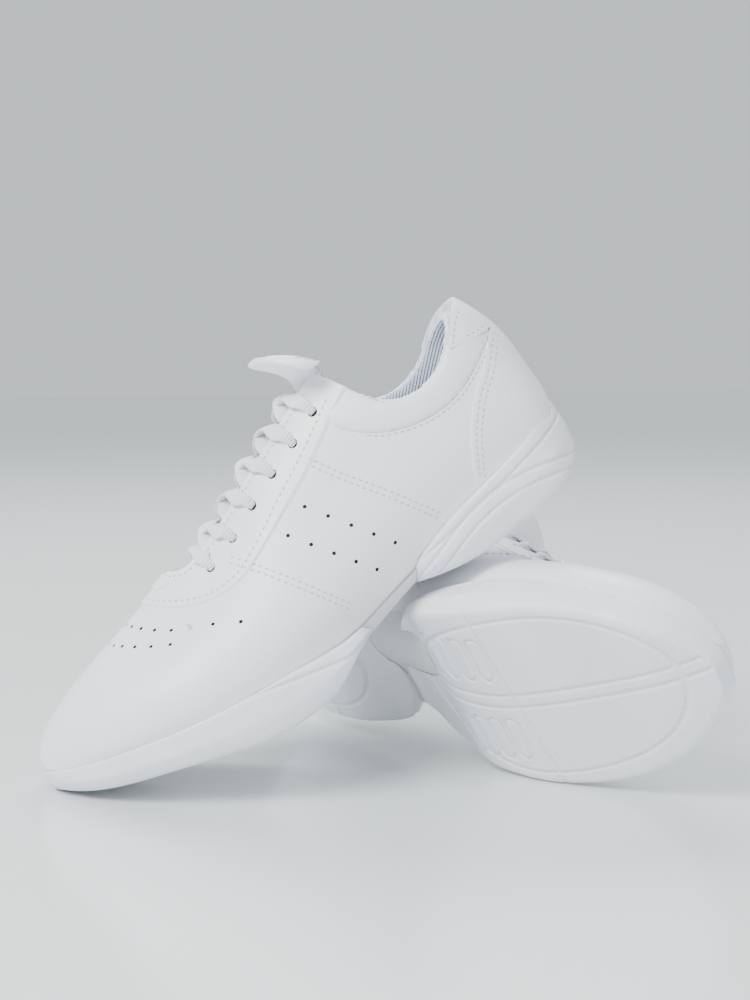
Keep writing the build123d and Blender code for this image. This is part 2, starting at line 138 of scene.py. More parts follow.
def smooth_path(points, step):
    """A Catmull-Rom curve through the points, cut into equal steps."""
    pts = [Vector(p) for p in points]
    pts = [2 * pts[0] - pts[1]] + pts + [2 * pts[-1] - pts[-2]]
    fine = []
    for a, b, c, d in zip(pts, pts[1:], pts[2:], pts[3:]):
        for k in range(12):
            t = k / 12
            fine.append(0.5 * (2 * b + (c - a) * t + (2 * a - 5 * b + 4 * c - d) * t * t
                               + (3 * b - a - 3 * c + d) * t ** 3))
    fine.append(pts[-2])
    spaced, travelled, target = [fine[0]], 0.0, step
    for a, b in zip(fine, fine[1:]):
        run = (b - a).length
        while run > 0 and travelled + run >= target:
            spaced.append(a.lerp(b, (target - travelled) / run))
            target += step
        travelled += run
    return spaced


def new_piece(name, verts, faces, side, body, smooth=True):
    """A mesh piece from shoe-frame geometry, riding on a body."""
    mesh = bpy.data.meshes.new(name)
    mesh.from_pydata([TO_SCENE[side] @ Vector(v) for v in verts], [], faces)
    if side == "right":
        mesh.flip_normals()
    for polygon in mesh.polygons:
        polygon.use_smooth = smooth
    piece = bpy.data.objects.new(name, mesh)
    bpy.context.scene.collection.objects.link(piece)
    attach(piece, body)
    return piece


# %% [markdown]
# ## Materials
# Each material is named for what it is and how it was made. Colours are sRGB hex values,
# turned to linear by one function. Patterns are scaled in millimetres through `per_mm`.

# %% Material helpers
def linear(code):
    """sRGB hex to linear RGBA."""
    parts = [int(code[i:i + 2], 16) / 255 for i in (1, 3, 5)]
    return [c / 12.92 if c <= 0.04045 else ((c + 0.055) / 1.055) ** 2.4 for c in parts] + [1]


def add_node(tree, kind, settings=None, into=None, **links):
    """Adds a node, sets it by name, links the outputs it is given, and may feed a socket."""
    made = tree.nodes.new("ShaderNode" + kind)
    for key, value in (settings or {}).items():
        if hasattr(made, key):
            setattr(made, key, value)
        else:
            made.inputs[key].default_value = value
    for key, source in links.items():
        index = int(key[2:]) if key[:2] == "in" and key[2:].isdigit() else None
        socket = made.inputs[index] if index is not None else made.inputs[key.replace("_", " ")]
        if isinstance(source, (int, float, tuple, list)):
            socket.default_value = source
        else:
            tree.links.new(source, socket)
    if into is not None:
        tree.links.new(made.outputs[0], into)
    return made


def per_mm(size):
    """Texture scale, in cells per metre, for a cell of this many millimetres."""
    return 1000.0 / size


def start_material(name, **surface):
    material = bpy.data.materials.new(name)
    material.use_nodes = True
    tree = material.node_tree
    tree.nodes.clear()
    shader = add_node(tree, "BsdfPrincipled", surface)
    output = add_node(tree, "OutputMaterial")
    tree.links.new(shader.outputs["BSDF"], output.inputs["Surface"])
    where = add_node(tree, "TexCoord").outputs["Object"]
    return material, tree, shader, where


def shoe_axes(tree, where, side):
    """Shoe-frame X, Y and Z in millimetres, made with one dot product each."""
    inverse = TO_SHOE[side]
    axes = []
    for row in range(3):
        direction = Vector(inverse[row][:3])
        dot = add_node(tree, "VectorMath", {"operation": "DOT_PRODUCT"},
                       in0=where, in1=tuple(direction))
        shifted = add_node(tree, "Math", {"operation": "ADD"},
                           in0=dot.outputs["Value"], in1=inverse[row][3])
        axes.append(shifted.outputs["Value"])
    return axes


def pressed(depth_mm, strength):
    """Settings for a relief of this depth."""
    return {"Strength": strength, "Distance": depth_mm * MM}


def mottled(tree, where, low, high, size_mm):
    """Slow drift between two close tones, as hides and dye lots have."""
    cloud = add_node(tree, "TexNoise", {"Scale": per_mm(size_mm), "Detail": 3.0}, Vector=where)
    ramp = add_node(tree, "Mix", {"data_type": "RGBA"}, Factor=cloud.outputs["Fac"])
    ramp.inputs[6].default_value = linear(low)
    ramp.inputs[7].default_value = linear(high)
    return ramp.outputs[2]


# %% [markdown]
# ### Coated synthetic leather
# Knitted backing with a polyurethane skin, rolled against grained paper: a fine pebble that
# only shows in the highlights, faint pull creases, and a soft satin coat.

# %% Leather
def coated_leather(name, low, high, roughness):
    material, tree, shader, where = start_material(name, Roughness=roughness, IOR=1.5)
    shader.inputs["Coat Weight"].default_value = 0.18
    shader.inputs["Coat Roughness"].default_value = 0.28
    tree.links.new(mottled(tree, where, low, high, 34), shader.inputs["Base Color"])
    pebble = add_node(tree, "TexVoronoi", {"Scale": per_mm(0.9)}, Vector=where)
    grain = add_node(tree, "Bump", pressed(0.06, 0.35), Height=pebble.outputs["Distance"])
    pull = add_node(tree, "TexNoise", {"Scale": per_mm(9), "Detail": 5.0}, Vector=where)
    add_node(tree, "Bump", pressed(0.35, 0.25), into=shader.inputs["Normal"],
             Height=pull.outputs["Fac"], Normal=grain.outputs["Normal"])
    gloss = add_node(tree, "MapRange", {"To Min": roughness - 0.05, "To Max": roughness + 0.08},
                     Value=pull.outputs["Fac"])
    tree.links.new(gloss.outputs["Result"], shader.inputs["Roughness"])
    return material


PANEL = coated_leather("coated_leather_panels", "#EEEFF4", "#F7F7FA", 0.42)
OVERLAY = coated_leather("coated_leather_overlays", "#F0F1F5", "#F9F9FB", 0.38)


# %% [markdown]
# ### Textiles
# The lining is a warp knit with slanting ribs about 1.2 mm apart; the tongue is an open
# spacer mesh; laces are flat braids whose cross ribs show every 1.2 mm.

# %% Textiles
def ribbed_knit(name, side, low, high):
    material, tree, shader, where = start_material(name, Roughness=0.85)
    shader.inputs["Sheen Weight"].default_value = 0.25
    x, _, z = shoe_axes(tree, where, side)
    slant = add_node(tree, "CombineXYZ", None, X=x, Y=0.0, Z=z)
    ribs = add_node(tree, "TexWave", {"wave_type": "BANDS", "bands_direction": "DIAGONAL",
                                      "Scale": 0.36, "Distortion": 0.5, "Detail": 1.0,
                                      "Detail Scale": 3.0}, Vector=slant.outputs["Vector"])
    threads = add_node(tree, "TexVoronoi", {"Scale": per_mm(0.8)}, Vector=where)
    tone = add_node(tree, "Mix", {"data_type": "RGBA"}, Factor=ribs.outputs["Fac"])
    tone.inputs[6].default_value = linear(low)
    tone.inputs[7].default_value = linear(high)
    tree.links.new(tone.outputs[2], shader.inputs["Base Color"])
    first = add_node(tree, "Bump", pressed(0.5, 0.8), Height=ribs.outputs["Fac"])
    add_node(tree, "Bump", pressed(0.15, 0.5), into=shader.inputs["Normal"],
             Height=threads.outputs["Distance"], Normal=first.outputs["Normal"])
    return material


def spacer_mesh(name):
    """Knitted net: round holes 1.3 mm apart over a darker ground."""
    material, tree, shader, where = start_material(name, Roughness=0.9)
    cells = add_node(tree, "TexVoronoi", {"Scale": per_mm(1.3), "feature": "F1",
                                          "Randomness": 0.35}, Vector=where)
    hole = add_node(tree, "MapRange", {"From Min": 0.15, "From Max": 0.45},
                    Value=cells.outputs["Distance"])
    tone = add_node(tree, "Mix", {"data_type": "RGBA"}, Factor=hole.outputs["Result"])
    tone.inputs[6].default_value = linear("#9EA2AC")
    tone.inputs[7].default_value = linear("#E4E6EB")
    tree.links.new(tone.outputs[2], shader.inputs["Base Color"])
    add_node(tree, "Bump", pressed(0.4, 0.9), into=shader.inputs["Normal"],
             Height=hole.outputs["Result"])
    return material


def flat_braid(name):
    """Woven lace: cross ribs along its length, read from the band's own UV in mm."""
    material, tree, shader, _ = start_material(name, Roughness=0.78)
    shader.inputs["Sheen Weight"].default_value = 0.3
    along = add_node(tree, "UVMap", {"uv_map": "band"}).outputs["UV"]
    ribs = add_node(tree, "TexWave", {"wave_type": "BANDS", "bands_direction": "Y",
                                      "Scale": 0.26, "Distortion": 0.6, "Detail Scale": 2.0},
                    Vector=along)
    threads = add_node(tree, "TexWave", {"wave_type": "BANDS", "bands_direction": "X",
                                         "Scale": 0.5}, Vector=along)
    tone = add_node(tree, "Mix", {"data_type": "RGBA"}, Factor=ribs.outputs["Fac"])
    tone.inputs[6].default_value = linear("#DDDEEA")
    tone.inputs[7].default_value = linear("#F8F8FC")
    tree.links.new(tone.outputs[2], shader.inputs["Base Color"])
    first = add_node(tree, "Bump", pressed(0.22, 0.8), Height=ribs.outputs["Fac"])
    add_node(tree, "Bump", pressed(0.08, 0.5), into=shader.inputs["Normal"],
             Height=threads.outputs["Fac"], Normal=first.outputs["Normal"])
    return material


def plain_fine(name, low, high, roughness, cell_mm, depth_mm):
    """Fine-grained finish for small trim: thread, film, painted hole shadow, foam, board."""
    material, tree, shader, where = start_material(name, Roughness=roughness)
    tree.links.new(mottled(tree, where, low, high, cell_mm * 4), shader.inputs["Base Color"])
    grain = add_node(tree, "TexNoise", {"Scale": per_mm(cell_mm), "Detail": 4.0}, Vector=where)
    add_node(tree, "Bump", pressed(depth_mm, 0.5), into=shader.inputs["Normal"],
             Height=grain.outputs["Fac"])
    return material


LINING = {side: ribbed_knit("warp_knit_lining_" + side, side, "#BAC6DC", "#E3E9F4")
          for side in SIDES}
MESH = spacer_mesh("spacer_mesh_tongue")
BRAID = flat_braid("flat_braided_lace")
THREAD = plain_fine("bonded_polyester_thread", "#BFC2D0", "#D6D8E2", 0.55, 0.4, 0.05)
# Painted shadow: near-black discs that stand for the shade inside the punched eyelets and air
# holes.
SHADOW = plain_fine("painted_shade_in_holes", "#121316", "#1D1E22", 0.9, 0.5, 0.05)
FOAM = plain_fine("open_cell_foam", "#E6E6E2", "#F2F2EE", 0.95, 0.7, 0.2)
BOARD = plain_fine("needled_board", "#D8D8D4", "#E8E8E4", 0.95, 0.6, 0.15)
FILM = plain_fine("clear_film_tip", "#E8EAEE", "#F4F5F8", 0.15, 0.6, 0.03)


# %% [markdown]
# ### Moulded sole
# White injection-moulded rubber. The mould leaves patches of a fine diamond grain, about 2 mm
# across, on an even, slightly glossy skin. The grooves are cut later, as real depth.

# %% Sole rubber
def moulded_rubber(name, side):
    material, tree, shader, where = start_material(name, Roughness=0.33, IOR=1.52)
    shader.inputs["Coat Weight"].default_value = 0.25
    shader.inputs["Coat Roughness"].default_value = 0.2
    tree.links.new(mottled(tree, where, "#E9ECF3", "#F4F6FA", 40), shader.inputs["Base Color"])
    x, _, z = shoe_axes(tree, where, side)
    heights = []
    for sign in (1.0, -1.0):
        tilt = add_node(tree, "Math", {"operation": "MULTIPLY"}, in0=z, in1=1.3 * sign)
        line = add_node(tree, "Math", {"operation": "ADD"}, in0=x, in1=tilt.outputs[0])
        wave = add_node(tree, "Math", {"operation": "MULTIPLY"}, in0=line.outputs[0], in1=3.3)
        heights.append(add_node(tree, "Math", {"operation": "SINE"},
                                in0=wave.outputs[0]).outputs[0])
    both = add_node(tree, "Math", {"operation": "MULTIPLY"}, in0=heights[0], in1=heights[1])
    zone = add_node(tree, "TexNoise", {"Scale": per_mm(45), "Detail": 1.0}, Vector=where)
    gate = add_node(tree, "MapRange", {"From Min": 0.42, "From Max": 0.5},
                    Value=zone.outputs["Fac"])
    gated = add_node(tree, "Math", {"operation": "MULTIPLY"},
                     in0=both.outputs[0], in1=gate.outputs["Result"])
    first = add_node(tree, "Bump", pressed(0.18, 0.55), Height=gated.outputs[0])
    fine = add_node(tree, "TexNoise", {"Scale": per_mm(2.0), "Detail": 4.0}, Vector=where)
    add_node(tree, "Bump", pressed(0.08, 0.3), into=shader.inputs["Normal"],
             Height=fine.outputs["Fac"], Normal=first.outputs["Normal"])
    return material


RUBBER = {side: moulded_rubber("moulded_white_rubber_" + side, side) for side in SIDES}
PLASTIC = plain_fine("moulded_sheet", "#DADADA", "#E6E6E6", 0.6, 1.0, 0.05)

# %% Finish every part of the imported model
FINISH = {
    "vamp": PANEL, "saddle_lateral": PANEL, "saddle_medial": PANEL,
    "quarter_lateral": PANEL, "quarter_medial": PANEL, "collar_panel": PANEL,
    "eyestay": OVERLAY, "throat_patch": OVERLAY, "heel_counter": OVERLAY,
    "heel_tab": OVERLAY, "tongue_cap": OVERLAY, "insole_board": BOARD,
    "toe_puff": PLASTIC, "heel_stiffener": PLASTIC, "arch_plate": PLASTIC,
    "vamp_lining": LINING, "quarter_lining": LINING, "collar_lining": LINING,
    "tongue_lining": LINING, "tongue_cap_lining": LINING, "sock_liner": LINING,
    "collar_foam": FOAM, "tongue_foam": FOAM, "forefoot_sole": RUBBER,
    "heel_sole": RUBBER, "tongue_mesh": MESH, "lace_keeper": BRAID, "lace": BRAID,
    "aglet_lateral": FILM, "aglet_medial": FILM,
}


def finish_for(part, side):
    choice = FINISH[part]
    return choice[side] if isinstance(choice, dict) else choice


for node_name, node_object in NODES.items():
    side, part = node_name.split("_", 1)
    node_object.data.materials.clear()
    node_object.data.materials.append(finish_for(part, side))
print("finishes given to", len(NODES), "nodes")

# %% [markdown]
# ## Stitching
# A lockstitch shows as short raised dashes sunk into the leather at both ends. Each stitch is
# a small six-sided spindle laid along its seam. A dent cut for each one is the other way,
# but a raised thread catches the light, which is what the eye looks for.

# %% Stitches
STITCH_PITCH = 2.6
STITCH_LENGTH = 1.9
STITCH_RADIUS = 0.36
FACES_PER_STITCH = 20


def spindle(verts, faces, centre, along, normal):
    """One stitch: fat in the middle, pointed into the leather at both ends."""
    across = along.cross(normal).normalized()
    base = len(verts)
    for place, girth, lift in ((-0.5, 0.25, -0.25), (-0.22, 1.0, 0.1), (0.22, 1.0, 0.1),
                               (0.5, 0.25, -0.25)):
        middle = centre + along * (place * STITCH_LENGTH) + normal * lift * STITCH_RADIUS
        for k in range(6):
            angle = k * math.pi / 3
            offset = across * math.cos(angle) + normal * math.sin(angle) * 0.8
            verts.append(middle + offset * girth * STITCH_RADIUS)
    for ring in range(3):
        for k in range(6):
            a = base + ring * 6 + k
            b = base + ring * 6 + (k + 1) % 6
            faces.append((a, b, b + 6, a + 6))
    faces.append(tuple(base + k for k in reversed(range(6))))
    faces.append(tuple(base + 18 + k for k in range(6)))


def shifted(points, amount):
    """A flat line moved sideways by an amount, to the left of its direction."""
    moved = []
    for i, (u, v) in enumerate(points):
        a = points[max(i - 1, 0)]
        b = points[min(i + 1, len(points) - 1)]
        run = Vector((b[0] - a[0], b[1] - a[1])).normalized()
        moved.append((u - run.y * amount, v + run.x * amount))
    return moved


def sew(store, side, line, cast):
    """Drops stitches along a flat line by casting each spot onto the upper."""
    verts, faces = store
    spots = smooth_path([(u, v, 0) for u, v in line], STITCH_PITCH)
    hits = [cast(side, p.x, p.y) for p in spots]
    for here, ahead in zip(hits, hits[1:]):
        if here is None or ahead is None:
            continue
        along = ahead[0] - here[0]
        if not 0.4 < along.length < 7:
            continue
        middle = (here[0] + ahead[0]) / 2
        spindle(verts, faces, middle, along.normalized(), here[1])


SIDE_SEAMS = [
    # line in side view, then how far each row of stitches lies from it
    ([(100, 75), (92, 61), (81, 44), (69, 24)], (-1.3, -3.6)),
    ([(143, 64), (138, 58), (128, 43), (115, 21)], (1.3, 3.6)),
    ([(8, 71.5), (20, 66.5), (35, 61.5), (51, 61.5), (67, 67), (73, 72)], (-1.2,)),
    ([(12, 87), (17, 85), (31, 73.4), (46, 69.4), (58, 74), (64, 83)], (0.0,)),
    ([(6, 73.5), (11, 70), (19, 63.5), (29, 57), (38, 48), (44, 39), (48.5, 30)],
     (-1.6, -3.8)),
    ([(5, 76.6), (12, 76.8), (18, 77.8)], (0.0,)),
]
FACING_EDGE = [(76, 22.6), (86, 23.5), (112, 25.5), (141, 28), (150, 27.5), (160, 24.5),
               (171, 17.5), (179, 9), (182, 0)]
THROAT_EDGE = [(82, 10.9), (100, 11.0), (130, 10.2), (157, 9), (162.5, 6.8), (165.5, 3.4),
               (166, 0)]
for side in SIDES:
    store = ([], [])
    for line, offsets in SIDE_SEAMS:
        for offset in offsets:
            for outward in (1, -1):
                def cast(which, x, z, outward=outward):
                    return from_side(which, x, z, outward)
                sew(store, side, shifted(line, offset), cast)
    for outward in (1, -1):
        for edge, offset in ((FACING_EDGE, 1.9), (THROAT_EDGE, -2.2)):
            row = [(x, outward * y) for x, y in shifted(edge, -offset)]
            sew(store, side, row, from_top)
    piece = new_piece(side + "_stitching", *store, side, BODY[side])
    piece.data.materials.append(THREAD)
    print(side, "stitches:", len(store[1]) // FACES_PER_STITCH)

# %% [markdown]
# ## Painted shadow in eyelets and air holes
# A punched hole reads as a dark dot because no light comes back out. A near-black disc just
# below the surface paints that shadow into each hole; it stands for shade, not for a backing.

# %% Painted shadow discs
EYELET_X = (152, 138.4, 124.8, 111.2, 97.6, 84)
EYELET_Y = (17.0, 17.8, 18.4, 18.9, 19.2, 19.4)
EYELET_R = 2.1
HOLE_R = 0.8
TOE_HOLE_PITCH = 4.9
TOE_ROW_BOW = 0.027
SADDLE_HOLES = 5
SADDLE_ROWS = (((109, 62), (89, 30)), ((121, 57), (101, 26)))
TOE_ROWS = ((8, 192), (6, 202))


def ring_average(side, cast, u, v, reach):
    """Surface level and direction round a hole, from six spots beside it."""
    hits = []
    for k in range(6):
        angle = k * math.pi / 3 + 0.3
        hit = cast(side, u + reach * math.cos(angle), v + reach * math.sin(angle))
        if hit is not None:
            hits.append(hit)
    point = sum((h[0] for h in hits), Vector()) / len(hits)
    normal = sum((h[1] for h in hits), Vector()).normalized()
    return point, normal


def disc(verts, faces, centre, normal, radius, sunk):
    across = normal.orthogonal().normalized()
    other = normal.cross(across)
    base = len(verts)
    for k in range(16):
        angle = k * math.pi / 8
        verts.append(centre - normal * sunk
                     + (across * math.cos(angle) + other * math.sin(angle)) * radius)
    faces.append(tuple(base + k for k in range(16)))


EYELETS = {}
for side in SIDES:
    verts, faces = [], []
    for row, (x, y) in enumerate(zip(EYELET_X, EYELET_Y)):
        for outward in (1, -1):
            seat = ring_average(side, from_top, x, outward * y, EYELET_R + 0.9)
            EYELETS[side, row, outward] = seat
            disc(verts, faces, seat[0], seat[1], EYELET_R + 0.05, 1.1)
    for count, middle in TOE_ROWS:
        for step in range(count):
            reach = (step + 0.5) * TOE_HOLE_PITCH
            for outward in (1, -1):
                seat = ring_average(side, from_top, middle - TOE_ROW_BOW * reach * reach,
                                    outward * reach, HOLE_R + 0.6)
                disc(verts, faces, seat[0], seat[1], HOLE_R + 0.03, 0.3)
    for first, last in SADDLE_ROWS:
        for step in range(SADDLE_HOLES):
            t = step / (SADDLE_HOLES - 1)
            x = first[0] + (last[0] - first[0]) * t
            z = first[1] + (last[1] - first[1]) * t
            for outward in (1, -1):
                def cast(which, u, v, outward=outward):
                    return from_side(which, u, v, outward)
                seat = ring_average(side, cast, x, z, HOLE_R + 0.6)
                disc(verts, faces, seat[0], seat[1], HOLE_R + 0.03, 0.3)
    # The discs sunk into the holes are painted shadow, not a real backing layer.
    piece = new_piece(side + "_painted_hole_shadow_discs", verts, faces, side, BODY[side], smooth=False)
    piece.data.materials.append(SHADOW)

# %% [markdown]
# ## Flat laces
# Each crossing comes from under one facing, passes over the tongue and dives into the next
# eyelet on the other side. The braid is a flat band, so it is built as a ribbon with a
# rounded section that narrows where the eyelet pinches it.

# %% Lace bands
LACE_WIDTH = 7.4
LACE_THICK = 1.7
PINCH_WIDTH = 3.4
LACE_LIFT = 1.5


def ribbon(store, points, normals, widths):
    """Adds a rounded flat band along a path to the store."""
    verts, faces, uvs = store
    base = len(verts)
    section = [(math.cos(a), math.sin(a)) for a in (k * math.pi / 6 for k in range(12))]
    travelled = 0.0
    for i, (p, n, w) in enumerate(zip(points, normals, widths)):
        a = points[max(i - 1, 0)]
        b = points[min(i + 1, len(points) - 1)]
        along = (b - a).normalized()
        across = along.cross(n).normalized()
        up = across.cross(along).normalized()
        travelled += (p - points[i - 1]).length if i else 0.0
        thick = LACE_THICK * (1.0 + 0.35 * (1 - w / LACE_WIDTH))
        for c, s in section:
            flat = math.copysign(abs(c) ** 0.75, c)
            verts.append(p + across * flat * w / 2 + up * s * thick / 2)
            uvs.append((flat * w / 2, travelled))
    count = len(points)
    for i in range(count - 1):
        for k in range(12):
            q = base + i * 12 + k
            r = base + i * 12 + (k + 1) % 12
            faces.append((q, q + 12, r + 12, r))
    faces.append(tuple(base + k for k in range(12)))
    faces.append(tuple(base + (count - 1) * 12 + k for k in reversed(range(12))))


THROAT_EDGE_Y = 12.6
THROAT_CROWN = 3.6


def facing_level(side, x, y):
    """The facing itself, or between the facings the dome that the laces lie on."""
    if abs(y) >= THROAT_EDGE_Y:
        return from_top(side, x, y)
    near = from_top(side, x, THROAT_EDGE_Y)
    far = from_top(side, x, -THROAT_EDGE_Y)
    t = (y / THROAT_EDGE_Y + 1) / 2
    point = far[0].lerp(near[0], t)
    point += Vector((0, 0, THROAT_CROWN * (1 - (y / THROAT_EDGE_Y) ** 2)))
    return point, Vector((-0.42, y / 28.0, 1)).normalized()


def band_through(controls, step=0.9):
    """Smooth points, normals and widths from (point, normal, width) controls."""
    pts = [c[0] for c in controls]
    path = smooth_path(pts, step)
    marks = []
    for c in controls:
        marks.append(min(range(len(path)), key=lambda i: (path[i] - c[0]).length))
    marks[0], marks[-1] = 0, len(path) - 1
    normals, widths = [], []
    for i in range(len(path)):
        j = max(k for k, m in enumerate(marks) if m <= i)
        j = min(j, len(marks) - 2)
        t = (i - marks[j]) / max(1, marks[j + 1] - marks[j])
        t = t * t * (3 - 2 * t)
        normals.append(controls[j][1].lerp(controls[j + 1][1], t).normalized())
        widths.append(controls[j][2] + (controls[j + 1][2] - controls[j][2]) * t)
    return path, normals, widths


for side in SIDES:
    store = ([], [], [])
    for row in range(len(EYELET_X) - 1):
        for start in (1, -1):
            x0, x1 = EYELET_X[row], EYELET_X[row + 1]
            seat, normal = EYELETS[side, row + 1, -start]
            high = 1.9 if (row + (start > 0)) % 2 else 0.1
            inward = Vector((0, start, 0))
            a, an = facing_level(side, x0 - 4.0, start * 12.6)
            b, bn = facing_level(side, x0 - 5.2, start * 7.0)
            c, cn = facing_level(side, (x0 + x1) / 2 - 0.6, 0.0)
            d, dn = facing_level(side, x1 + 3.2, -start * 7.0)
            e, en = facing_level(side, x1 + 1.9, -start * 12.7)
            lip_y = -start * (EYELET_Y[row + 1] - 2.9)
            lip, ln = facing_level(side, x1 + 0.5, lip_y)
            dive = seat - normal * 1.9 - inward * 0.35
            ribbon(store, *band_through([
                (a - an * 3.2, an, LACE_WIDTH * 0.8),
                (b - bn * 0.9, bn, LACE_WIDTH * 0.95),
                (c + cn * high, cn, LACE_WIDTH),
                (d + dn * (1.3 + high * 0.5), dn, LACE_WIDTH),
                (e + en * LACE_LIFT, en, LACE_WIDTH * 0.95),
                (lip + ln * LACE_LIFT, ln, PINCH_WIDTH + 1.8),
                (dive, (normal * 0.8 - inward * 0.3).normalized(), PINCH_WIDTH),
            ]))
    ends = []
    for outward in (1, -1):
        seat, normal = EYELETS[side, 0, outward]
        inward = Vector((0, -outward, 0))
        ends.append([
            (seat - normal * 1.9 - inward * 0.35, (normal * 0.8 - inward * 0.3).normalized(),
             PINCH_WIDTH),
        ])
        for y, width in ((EYELET_Y[0] - 2.9, PINCH_WIDTH + 1.8), (12.7, LACE_WIDTH * 0.95)):
            spot, facing = facing_level(side, EYELET_X[0], outward * y)
            ends[-1].append((spot + facing * LACE_LIFT, facing, width))
    middle, middle_n = facing_level(side, EYELET_X[0], 0.0)
    ribbon(store, *band_through(ends[0] + [(middle + middle_n * 1.6, middle_n, LACE_WIDTH)]
                                + ends[1][::-1]))
    piece = new_piece(side + "_lace_band", store[0], store[1], side, BODY[side])
    layer = piece.data.uv_layers.new(name="band")
    for loop in piece.data.loops:
        layer.data[loop.index].uv = store[2][loop.vertex_index]
    piece.data.materials.append(BRAID)
    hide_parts(side + "_lace")
    print(side, "lace band vertices:", len(store[0]))


# %% [markdown]
# ## Soft parts
# Padding is what gives a collar its roll. The flat-cut foam and its covers are joined, made
# into one even skin by a voxel remesh, eased by smoothing, and puffed where the foam is
# thickest. The remesh rounds every raw edge, as a turned and topstitched edge is. A cloth
# simulation under pressure is the other way; a formula is quicker and the same each run.

# %% Padding helpers
def joined_skin(name, parts, side, voxel_mm, body):
    """One even skin round several parts, riding on a body and standing for them."""
    skin = bmesh.new()
    for part in parts:
        skin.from_mesh(NODES[f"{side}_{part}"].data)
    mesh = bpy.data.meshes.new(name)
    skin.to_mesh(mesh)
    skin.free()
    piece = bpy.data.objects.new(name, mesh)
    bpy.context.scene.collection.objects.link(piece)
    remesh = piece.modifiers.new("even", "REMESH")
    remesh.mode = "VOXEL"
    remesh.voxel_size = voxel_mm * MM
    relaxed = piece.modifiers.new("ease", "SMOOTH")
    relaxed.factor = 0.5
    relaxed.iterations = 5
    graph = bpy.context.evaluated_depsgraph_get()
    eased = bpy.data.meshes.new_from_object(piece.evaluated_get(graph))
    piece.modifiers.clear()
    piece.data = eased
    for polygon in eased.polygons:
        polygon.use_smooth = True
    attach(piece, body)
    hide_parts(*[f"{side}_{part}" for part in parts])
    return piece


def shape_by(piece, side, amount):
    """Moves each point along its normal by amount(shoe point, shoe normal) millimetres."""
    mesh = piece.data
    turn = TO_SHOE[side].to_3x3()
    moves = []
    for v in mesh.vertices:
        here = TO_SHOE[side] @ v.co
        facing = (turn @ v.normal).normalized()
        moves.append(v.normal * amount(here, facing) * MM)
    for v, move in zip(mesh.vertices, moves):
        v.co += move
    mesh.update()


def bell(value, centre, half):
    """1 at the centre, falling smoothly to 0 at half either side."""
    t = abs(value - centre) / half
    return 0.0 if t >= 1 else (1 - t * t) ** 2


def paint(piece, side, materials, choose):
    """Gives each face a material by where it is and which way it faces."""
    for material in materials:
        piece.data.materials.append(material)
    turn = TO_SHOE[side].to_3x3()
    for polygon in piece.data.polygons:
        here = TO_SHOE[side] @ polygon.center
        facing = (turn @ polygon.normal).normalized()
        polygon.material_index = choose(here, facing)


# %% Collar
COLLAR_VOXEL = 1.1


def axis_of_collar(here):
    """Out from the middle of the collar, seen from above."""
    return Vector((here.x - 42.0, here.y, 0)).normalized()


def collar_puff(here, facing):
    outward = facing.dot(axis_of_collar(here))
    seam = 61.5 + 0.008 * (here.x - 43) ** 2
    rim = 72.0 + 0.014 * (here.x - 45) ** 2
    middle = (seam + rim) / 2
    return (1.0 if outward > 0 else 0.5) * bell(here.z, middle + 1, (rim - seam) * 0.75)


for side in SIDES:
    collar = joined_skin(side + "_padded_collar",
                         ("collar_panel", "collar_foam", "collar_lining"), side,
                         COLLAR_VOXEL, BODY[side])
    shape_by(collar, side, collar_puff)

    def collar_side(here, facing):
        return 0 if facing.dot(axis_of_collar(here)) > -0.35 else 1

    paint(collar, side, (PANEL, LINING[side]), collar_side)
    print(side, "collar faces:", len(collar.data.polygons))

# %% Tongue
TONGUE_VOXEL = 0.9


def spread_wings(piece, side):
    """The padded top spreads sideways over the facings and droops at its ends."""
    for v in piece.data.vertices:
        here = TO_SHOE[side] @ v.co
        rise = min(max((here.z - 99.0) / 5.0, 0.0), 1.0)
        rise = rise * rise * (3 - 2 * rise)
        curl = min(max((here.z - 98.0) / 13.0, 0.0), 1.2)
        here.y *= 1.0 + 0.50 * rise
        here.x += 9.0 * curl * curl
        here.z += 5.0 * curl - 0.018 * max(abs(here.y) - 11.0, 0.0) ** 2 * rise
        v.co = TO_SCENE[side] @ here


for side in SIDES:
    top = joined_skin(side + "_padded_tongue_top",
                      ("tongue_cap", "tongue_foam", "tongue_cap_lining"), side,
                      TONGUE_VOXEL, TOP_BODY[side])

    def top_puff(here, facing):
        return 1.7 * bell(here.y, 0, 20) * bell(here.z, 106, 12)

    def top_side(here, facing):
        return 0 if facing.x > -0.25 or facing.z > 0.75 else 1

    shape_by(top, side, top_puff)
    spread_wings(top, side)
    paint(top, side, (OVERLAY, LINING[side]), top_side)
    blade = joined_skin(side + "_tongue_blade", ("tongue_mesh", "tongue_lining"), side,
                        TONGUE_VOXEL, BODY[side])

    def blade_wave(here, facing):
        return 0.25 * math.sin(here.x * 0.42) * math.sin(here.y * 0.5)

    def blade_side(here, facing):
        return 0 if facing.z > 0 else 1

    shape_by(blade, side, blade_wave)
    paint(blade, side, (MESH, LINING[side]), blade_side)

# %% [markdown]
# The tongue's root runs forward under the first lace and is sewn below the vamp, so no gap
# shows at the front of the throat. It is a small curved flap with the same open mesh.

# %% Tongue root
ROOT_DEPTH = 4.9
ROOT_THICK = 1.2


def root_flap(side):
    rows = [148 + 2 * i for i in range(13)]
    columns = [-14 + 2 * k for k in range(15)]
    verts, faces = [], []
    for layer in (0, 1):
        for x in rows:
            for y in columns:
                level, _ = facing_level(side, x, y)
                if x > 166:
                    level, _ = from_top(side, x, y)
                verts.append((x, y, level.z - ROOT_DEPTH - layer * ROOT_THICK))
    across, total = len(columns), len(rows) * len(columns)
    for layer in (0, total):
        for i in range(len(rows) - 1):
            for k in range(across - 1):
                q = layer + i * across + k
                ring = (q, q + across, q + across + 1, q + 1)
                faces.append(ring if layer == 0 else ring[::-1])
    return verts, faces


